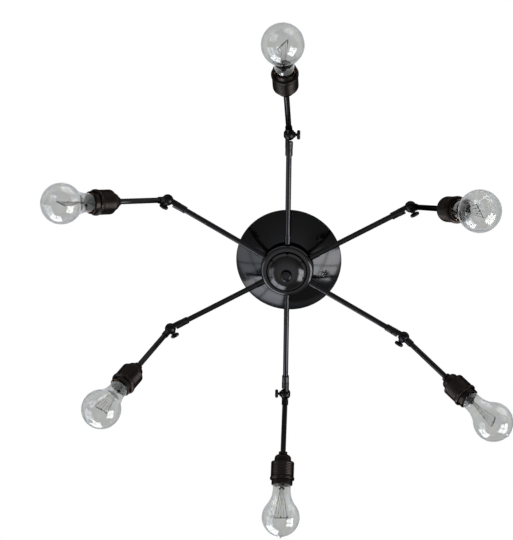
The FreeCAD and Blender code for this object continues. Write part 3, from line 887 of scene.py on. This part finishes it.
class LIGHT_OT_lampholders(bpy.types.Operator):
    """Metal lampholders at the arms' ends"""
    bl_idname = "light.lampholders"
    bl_label = "Lampholders"

    def execute(self, context):
        s = sizes()
        for arm in arms():
            n = arm.number
            cap = turned(f"lampholder_cap_{n}", holder_cap_outline(s), arm.holder(), 72, True)
            shell = turned(f"lampholder_shell_{n}", holder_shell_outline(s), arm.holder(), 96,
                           True, 50)
            dress(cap, "holder bronze", f"arm_{n}", "holder_bronze",
                  f"holder_cap_{n}")
            dress(shell, "holder bronze", f"arm_{n}", "holder_bronze",
                  f"holder_shell_{n}")
            lip = 15.8
            lining = turned(f"lip_lining_{n}", [
                (46.0, lip), (s.holder_length - 0.2, lip),
                (s.holder_length - 0.1, lip - 0.15),
                (s.holder_length - 0.2, lip - 0.3), (46.0, lip - 0.3)],
                arm.holder(), 72, True, 50)
            dress(lining, "lining copper", f"arm_{n}", "holder_bronze",
                  f"holder_shell_{n}")
        return {"FINISHED"}


class LIGHT_OT_sockets(bpy.types.Operator):
    """Insulator, screw shell and contact inside each lampholder"""
    bl_idname = "light.sockets"
    bl_label = "Sockets"

    def execute(self, context):
        floor, end = 23.2, 44.0
        outer_r, wall = 15.6, 1.2
        shell_r, skin, shell_end = 14.3, 0.6, 46.0
        for arm in arms():
            n = arm.number
            place = arm.holder()
            cup = turned(f"insulator_{n}", softened([
                (20.2, 0), (20.2, outer_r), (end, outer_r), (end, outer_r - wall),
                (floor, outer_r - wall), (floor, 0)], 0.4), place, 64)
            dress(cup, "insulator glaze", f"arm_{n}", "insert_ceramic",
                  f"holder_insert_{n}")
            outline = [(floor, shell_r), (shell_end, shell_r), (shell_end, shell_r - skin)]
            pitch = 3.63
            turns = 5
            for k in range(turns * 6 + 1):
                along = shell_end - 1.5 - pitch * k / 6
                ripple = 0.25 * (1 - math.cos(2 * math.pi * k / 6)) / 2
                outline.append((along, shell_r - skin - ripple))
            outline.append((floor, shell_r - skin))
            brass = turned(f"screw_shell_{n}", outline, place, 64, True, 60)
            dress(brass, "shell brass", f"arm_{n}", "insert_ceramic",
                  f"holder_insert_{n}")
            contact = turned(f"centre_contact_{n}", softened([
                (floor, 0), (floor, 3.6), (24.4, 3.6), (24.6, 0)],
                0.3), place, 32)
            dress(contact, "shell brass", f"arm_{n}", "insert_ceramic",
                  f"holder_insert_{n}")
        return {"FINISHED"}


def envelope_outline(b, inset):
    """Bulb glass from root to pip, pulled in by an inset."""
    neck = b.neck_radius - inset
    globe = b.globe_radius - inset
    run = b.globe_centre - b.neck_end
    waist = (run ** 2 + b.neck_radius ** 2 - b.globe_radius ** 2)
    waist = waist / (2 * (b.globe_radius - b.neck_radius)) + inset
    slope = math.degrees(math.asin(run / (globe + waist)))
    root = b.root_radius - inset
    points = softened([(-10 + inset, root), (-b.base_top + inset, root),
                       (-b.base_top + inset + 2, neck), (b.neck_end * 0.6, neck)],
                      1.5, 5)
    points += arc((b.neck_end, neck + waist), waist, -90, -90 + slope, 18)
    points += arc((b.globe_centre, 0), globe, 90 + slope, 0, 56)[1:]
    pip = (b.globe_radius * 0.21) - inset
    turn = math.degrees(math.asin(pip / globe))
    keep = [p for p in points if not (p[0] > b.globe_centre and p[1] < pip)]
    start = b.globe_centre + globe * math.cos(math.radians(turn))
    tip = b.globe_centre + b.tip_reach - 1.6 * inset
    for k in range(9):
        t = k / 8
        keep.append((start + (tip - start) * (t ** 0.85), pip * (1 - t) ** 1.5))
    keep[-1] = (tip, 0)
    return keep


class LIGHT_OT_bulbs(bpy.types.Operator):
    """Clear glass bulbs with a pip"""
    bl_idname = "light.bulbs"
    bl_label = "Bulb glass"

    def execute(self, context):
        b = sizes_of_bulb()
        outline = envelope_outline(b, 0) + envelope_outline(b, b.wall)[::-1]
        root = -10
        stem = softened([
            (root + 1.0, 0), (root + 1.0, b.root_radius - 2 * b.wall),
            (root + 2.0, b.root_radius - 2 * b.wall), (root + 5, 5.4),
            (-1, 3.9), (b.stem_top - 1.5, 3.2),
            (b.stem_top, 1.6), (b.stem_top, 0)], 2, 4)
        for arm in arms():
            n = arm.number
            glass = turned(f"bulb_envelope_{n}", outline, arm.rim(), 96, True, 60)
            settled(glass, arm.rim())
            dress(glass, "clear glass", f"bulb_{n}", "bulb_glass", f"bulb_glass_{n}")
            mount = turned(f"glass_stem_{n}", stem, arm.rim(), 32, False, 60)
            dress(mount, "stem glass", f"bulb_{n}", "bulb_glass", f"bulb_glass_{n}")
        return {"FINISHED"}


def base_outline(b):
    """Threaded screw base from contact end to top flange."""
    root = b.base_radius - 0.8
    bottom = -23.5
    pitch = 3.63
    points = [(bottom, 4.6), (bottom, root - 0.6), (bottom + 0.6, root)]
    turns, parts = 4, 8
    for k in range(turns * parts + 1):
        along = bottom + 1.5 + pitch * k / parts
        lift = 0.8 * (1 - math.cos(2 * math.pi * k / parts)) / 2
        points.append((along, root + lift))
    points += [(-b.base_top - 1.6, root), (-b.base_top, b.base_radius)]
    points += [(-b.base_top, b.base_radius - 0.6), (-b.base_top - 1.4, root - 0.6),
               (bottom + 0.6, root - 0.6), (bottom + 0.6, 4.6)]
    return points


class LIGHT_OT_filaments(bpy.types.Operator):
    """Screw bases, lead-in wires, supports and filaments"""
    bl_idname = "light.filaments"
    bl_label = "Bulb bases and filaments"

    def execute(self, context):
        b = sizes_of_bulb()
        for arm in arms():
            n = arm.number
            place = arm.rim()
            node = f"bulb_core_{n}"
            body = f"bulb_{n}"
            base = turned(f"screw_base_{n}", base_outline(b), place, 64, True, 60)
            dress(base, "base brass", body, "bulb_brass", node)
            disc = turned(f"base_insulator_{n}", softened([
                (-26.8, 0), (-26.8, 4.6), (-23.5, 11.2),
                (-22.9, 11.2), (-22.9, 0)], 0.6), place, 48)
            dress(disc, "black insulator", body, "bulb_brass", node)
            tip = turned(f"base_contact_{n}", softened([
                (-28, 0), (-27.8, 3.6), (-26.8, 4.4),
                (-26.6, 0)], 0.5), place, 32)
            dress(tip, "shell brass", body, "bulb_brass", node)
            dress(self.mount(b, n, place), "filament wire", body, "bulb_brass", node)
            # Painted shade: a near-black disc across the neck darkens the view into the
            # lampholder's mouth.
            inner = b.neck_radius - b.wall - 0.3
            disc = turned(f"neck_shade_disc_{n}", softened([
                (-1.0, 3.7), (-1.0, inner), (-0.6, inner),
                (-0.6, 3.7), (-1.0, 3.7)], 0.1), place, 48)
            dress(disc, "neck mica painted shade", body, "bulb_brass", node)
        return {"FINISHED"}

    def mount(self, b, number, place):
        """Filament held across the globe by two lead-in wires and three supports."""
        draws = random.Random(number)
        half = b.filament_half
        centre = b.globe_centre
        foot = b.stem_top - 1
        pieces = []
        spots = [-1.0, -0.45, 0.0, 0.45, 1.0]
        for k, spot in enumerate(spots):
            lead = k in (0, len(spots) - 1)
            gap = 2.1 if lead else 0.8
            start = Vector((foot, 0, math.copysign(gap, spot) if spot else 0))
            top = Vector((centre + draws.uniform(-0.8, 0.8), 0, spot * half))
            bend = start.lerp(top, 0.25) + Vector((0, draws.uniform(-0.6, 0.6),
                                                   -spot * 1.2))
            wire_r = 0.34 if lead else 0.2
            pieces.append(tube_along(f"wire_{number}_{k}", [start, bend, top], wire_r, place,
                                     8, True))
        coil = []
        turns = 26
        for k in range(turns * 8 + 1):
            t = k / (turns * 8)
            angle = 2 * math.pi * turns * t
            sag = 1.0 * math.sin(math.pi * ((t * 4) % 1.0))
            coil.append(Vector((centre + sag + 0.5 * math.cos(angle),
                                0.5 * math.sin(angle), -half + 2 * half * t)))
        pieces.append(tube_along(f"filament_{number}", coil, 0.24, place, 4))
        knots = [(centre, spot * half, r) for spot, r in ((-1, 0.8), (0, 1.15), (1, 0.8))]
        knots += [(foot + 1.5, side * 3.0, 1.8) for side in (-1, 1)]
        for k, (along, up, radius) in enumerate(knots):
            spot = place @ Matrix.Translation(Vector((along, 0, up)) * MM)
            pieces.append(turned(f"knot_{number}_{k}", arc((0, 0), radius, 180, 0, 8), spot,
                                 12))
        return joined(pieces, f"filament_mount_{number}")


class LIGHT_OT_hardware(bpy.types.Operator):
    """Crossbar, nipple, nuts, earth screw and leads"""
    bl_idname = "light.hardware"
    bl_label = "Hidden hardware"

    def execute(self, context):
        for node in ("crossbar", "centre_nipple", "lock_nuts"):
            repaint(node, "zinc plate")
        repaint("earth_screw", "earth green")
        repaint("wiring", "lead sheath")
        return {"FINISHED"}


class LIGHT_OT_finishes(bpy.types.Operator):
    """Makes every material"""
    bl_idname = "light.finishes"
    bl_label = "Finishes"

    def execute(self, context):
        make_materials(context.scene.light_finish)
        return {"FINISHED"}


# ---- stage ----
def camera_matrix(stage):
    place, target = Vector(stage.camera_place), Vector(stage.camera_target)
    back = (place - target).normalized()
    right = (X_AXIS - back * back.x).normalized()
    up = back.cross(right)
    roll = stage.camera_roll
    right, up = (right * math.cos(roll) + up * math.sin(roll),
                 up * math.cos(roll) - right * math.sin(roll))
    turn = Matrix((right, up, back)).transposed().to_4x4()
    return Matrix.Translation(place) @ turn


WINDOWS = (
    ("right", (0.80, 0.33, -0.49), 1.2, (0.97, 0.985, 1.0)),
    ("front_left", (-0.45, 0.86, -0.24), 1.0, (0.92, 0.96, 1.0)),
    ("left", (-0.85, 0.33, -0.41), 0.4, (0.86, 0.92, 1.0)),
)


class LIGHT_OT_stage(bpy.types.Operator):
    """Camera, lamps, white surroundings and floor"""
    bl_idname = "light.stage"
    bl_label = "Stage"

    def execute(self, context):
        scene = context.scene
        stage = scene.light_stage
        data = bpy.data.cameras.new("camera")
        data.sensor_width = 36.0
        data.lens = stage.lens
        scene.camera = linked("camera", data, camera_matrix(stage))
        scene.view_settings.view_transform = "Standard"
        self.world(scene, stage.sky)
        centre = (CAD_BOX[0] + CAD_BOX[1]) / 2
        for name, direction, share, tint in WINDOWS:
            self.window(name, centre, Vector(direction).normalized(), share, tint, stage)
        self.floor(stage)
        return {"FINISHED"}

    def window(self, name, centre, direction, share, tint, stage):
        """Soft lamp of four panes, as a window lights a room."""
        place = centre + direction * stage.window_distance
        turn = (-direction).to_track_quat("-Z", "Y")
        pane = stage.window_size / 2 - stage.window_bar
        for column in (-1, 1):
            for row in (-1, 1):
                data = bpy.data.lights.new(f"{name}_pane", "AREA")
                data.shape = "SQUARE"
                data.size = pane
                data.energy = stage.window_radiance * share * math.pi * pane ** 2
                data.color = tint
                self.soften_through_glass(data, stage.lamp_through_glass)
                offset = Vector((column, row, 0)) * stage.window_size / 4
                spot = Matrix.Translation(place + turn @ offset)
                linked(data.name, data, spot @ turn.to_matrix().to_4x4())

    def soften_through_glass(self, data, share):
        """Lamp no brighter than the surroundings where it is seen straight through glass."""
        data.use_nodes = True
        tree = data.node_tree
        path = tree.nodes.new("ShaderNodeLightPath")
        mirrored = calculate(tree, "GREATER_THAN", path.outputs["Glossy Depth"], 0.5)
        inside = calculate(tree, "GREATER_THAN", path.outputs["Transmission Depth"], 0.5)
        through = calculate(tree, "MAXIMUM", calculate(tree, "SUBTRACT", inside, mirrored), 0.0)
        lost = calculate(tree, "MULTIPLY", through, 1.0 - share)
        wire(tree, calculate(tree, "SUBTRACT", 1.0, lost),
             tree.nodes["Emission"].inputs["Strength"])

    def world(self, scene, strength):
        """White to the eye, in reflections and through glass; softer as a light."""
        world = bpy.data.worlds.new("studio")
        scene.world = world
        world.use_nodes = True
        tree = world.node_tree
        tree.nodes.clear()
        path = tree.nodes.new("ShaderNodeLightPath")
        seen = calculate(tree, "MAXIMUM", path.outputs["Is Camera Ray"],
                         path.outputs["Is Glossy Ray"])
        seen = calculate(tree, "MAXIMUM", seen, path.outputs["Is Transmission Ray"])
        level = tree.nodes.new("ShaderNodeMix")
        level.data_type = "FLOAT"
        wire(tree, seen, level.inputs["Factor"])
        wire(tree, strength, level.inputs["A"])
        wire(tree, 1.0, level.inputs["B"])
        background = tree.nodes.new("ShaderNodeBackground")
        wire(tree, (1, 1, 1, 1), background.inputs["Color"])
        wire(tree, level.outputs["Result"], background.inputs["Strength"])
        output = tree.nodes.new("ShaderNodeOutputWorld")
        tree.links.new(background.outputs[0], output.inputs["Surface"])

    def floor(self, stage):
        """Pale floor far below, the colour of the surroundings."""
        builder = bmesh.new()
        bmesh.ops.create_circle(builder, cap_ends=True, segments=96, radius=stage.floor_radius)
        floor = finished(builder, "floor", Matrix.Translation((0, 0, -stage.floor_drop)))
        tree, shader = new_material("pale_floor")
        where = object_coordinates(tree)
        grain = ramp(tree, noise(tree, where, 3.0, 3.0), 0.3, 0.7)
        wire(tree, mixed(tree, grain, (0.8, 0.8, 0.79, 1), (0.84, 0.84, 0.83, 1)),
             shader.inputs["Base Color"])
        shader.inputs["Roughness"].default_value = 0.9
        coat(floor.data, "pale_floor")


# ---- panel and running ----
OPERATORS = (LIGHT_OT_finishes, LIGHT_OT_canopy, LIGHT_OT_hub, LIGHT_OT_tubes,
             LIGHT_OT_knuckles, LIGHT_OT_lampholders, LIGHT_OT_sockets, LIGHT_OT_bulbs,
             LIGHT_OT_filaments, LIGHT_OT_hardware, LIGHT_OT_stage)
GROUPS = {"light_sizes": LightSizes, "light_finish": LightFinish, "light_bulbs": BulbSizes,
          "light_stage": StageSettings}


class LIGHT_PT_panel(bpy.types.Panel):
    """Pieces of the ceiling light"""
    bl_label = "Ceiling light"
    bl_idname = "LIGHT_PT_panel"
    bl_space_type = "VIEW_3D"
    bl_region_type = "UI"
    bl_category = "Light"

    def draw(self, context):
        for group in GROUPS:
            box = self.layout.box()
            settings = getattr(context.scene, group)
            for name in settings.bl_rna.properties.keys():
                if name not in ("rna_type", "name"):
                    box.prop(settings, name)
        for operator in OPERATORS:
            self.layout.operator(operator.bl_idname)


def register():
    for cls in (*GROUPS.values(), *OPERATORS, LIGHT_PT_panel):
        bpy.utils.register_class(cls)
    for name, cls in GROUPS.items():
        setattr(bpy.types.Scene, name, bpy.props.PointerProperty(type=cls))


def unregister():
    for name in GROUPS:
        delattr(bpy.types.Scene, name)
    for cls in (LIGHT_PT_panel, *OPERATORS[::-1], *GROUPS.values()):
        bpy.utils.unregister_class(cls)


def main():
    register()
    for operator in OPERATORS:
        family, name = operator.bl_idname.split(".")
        getattr(getattr(bpy.ops, family), name)()


if __name__ == "__main__":
    main()
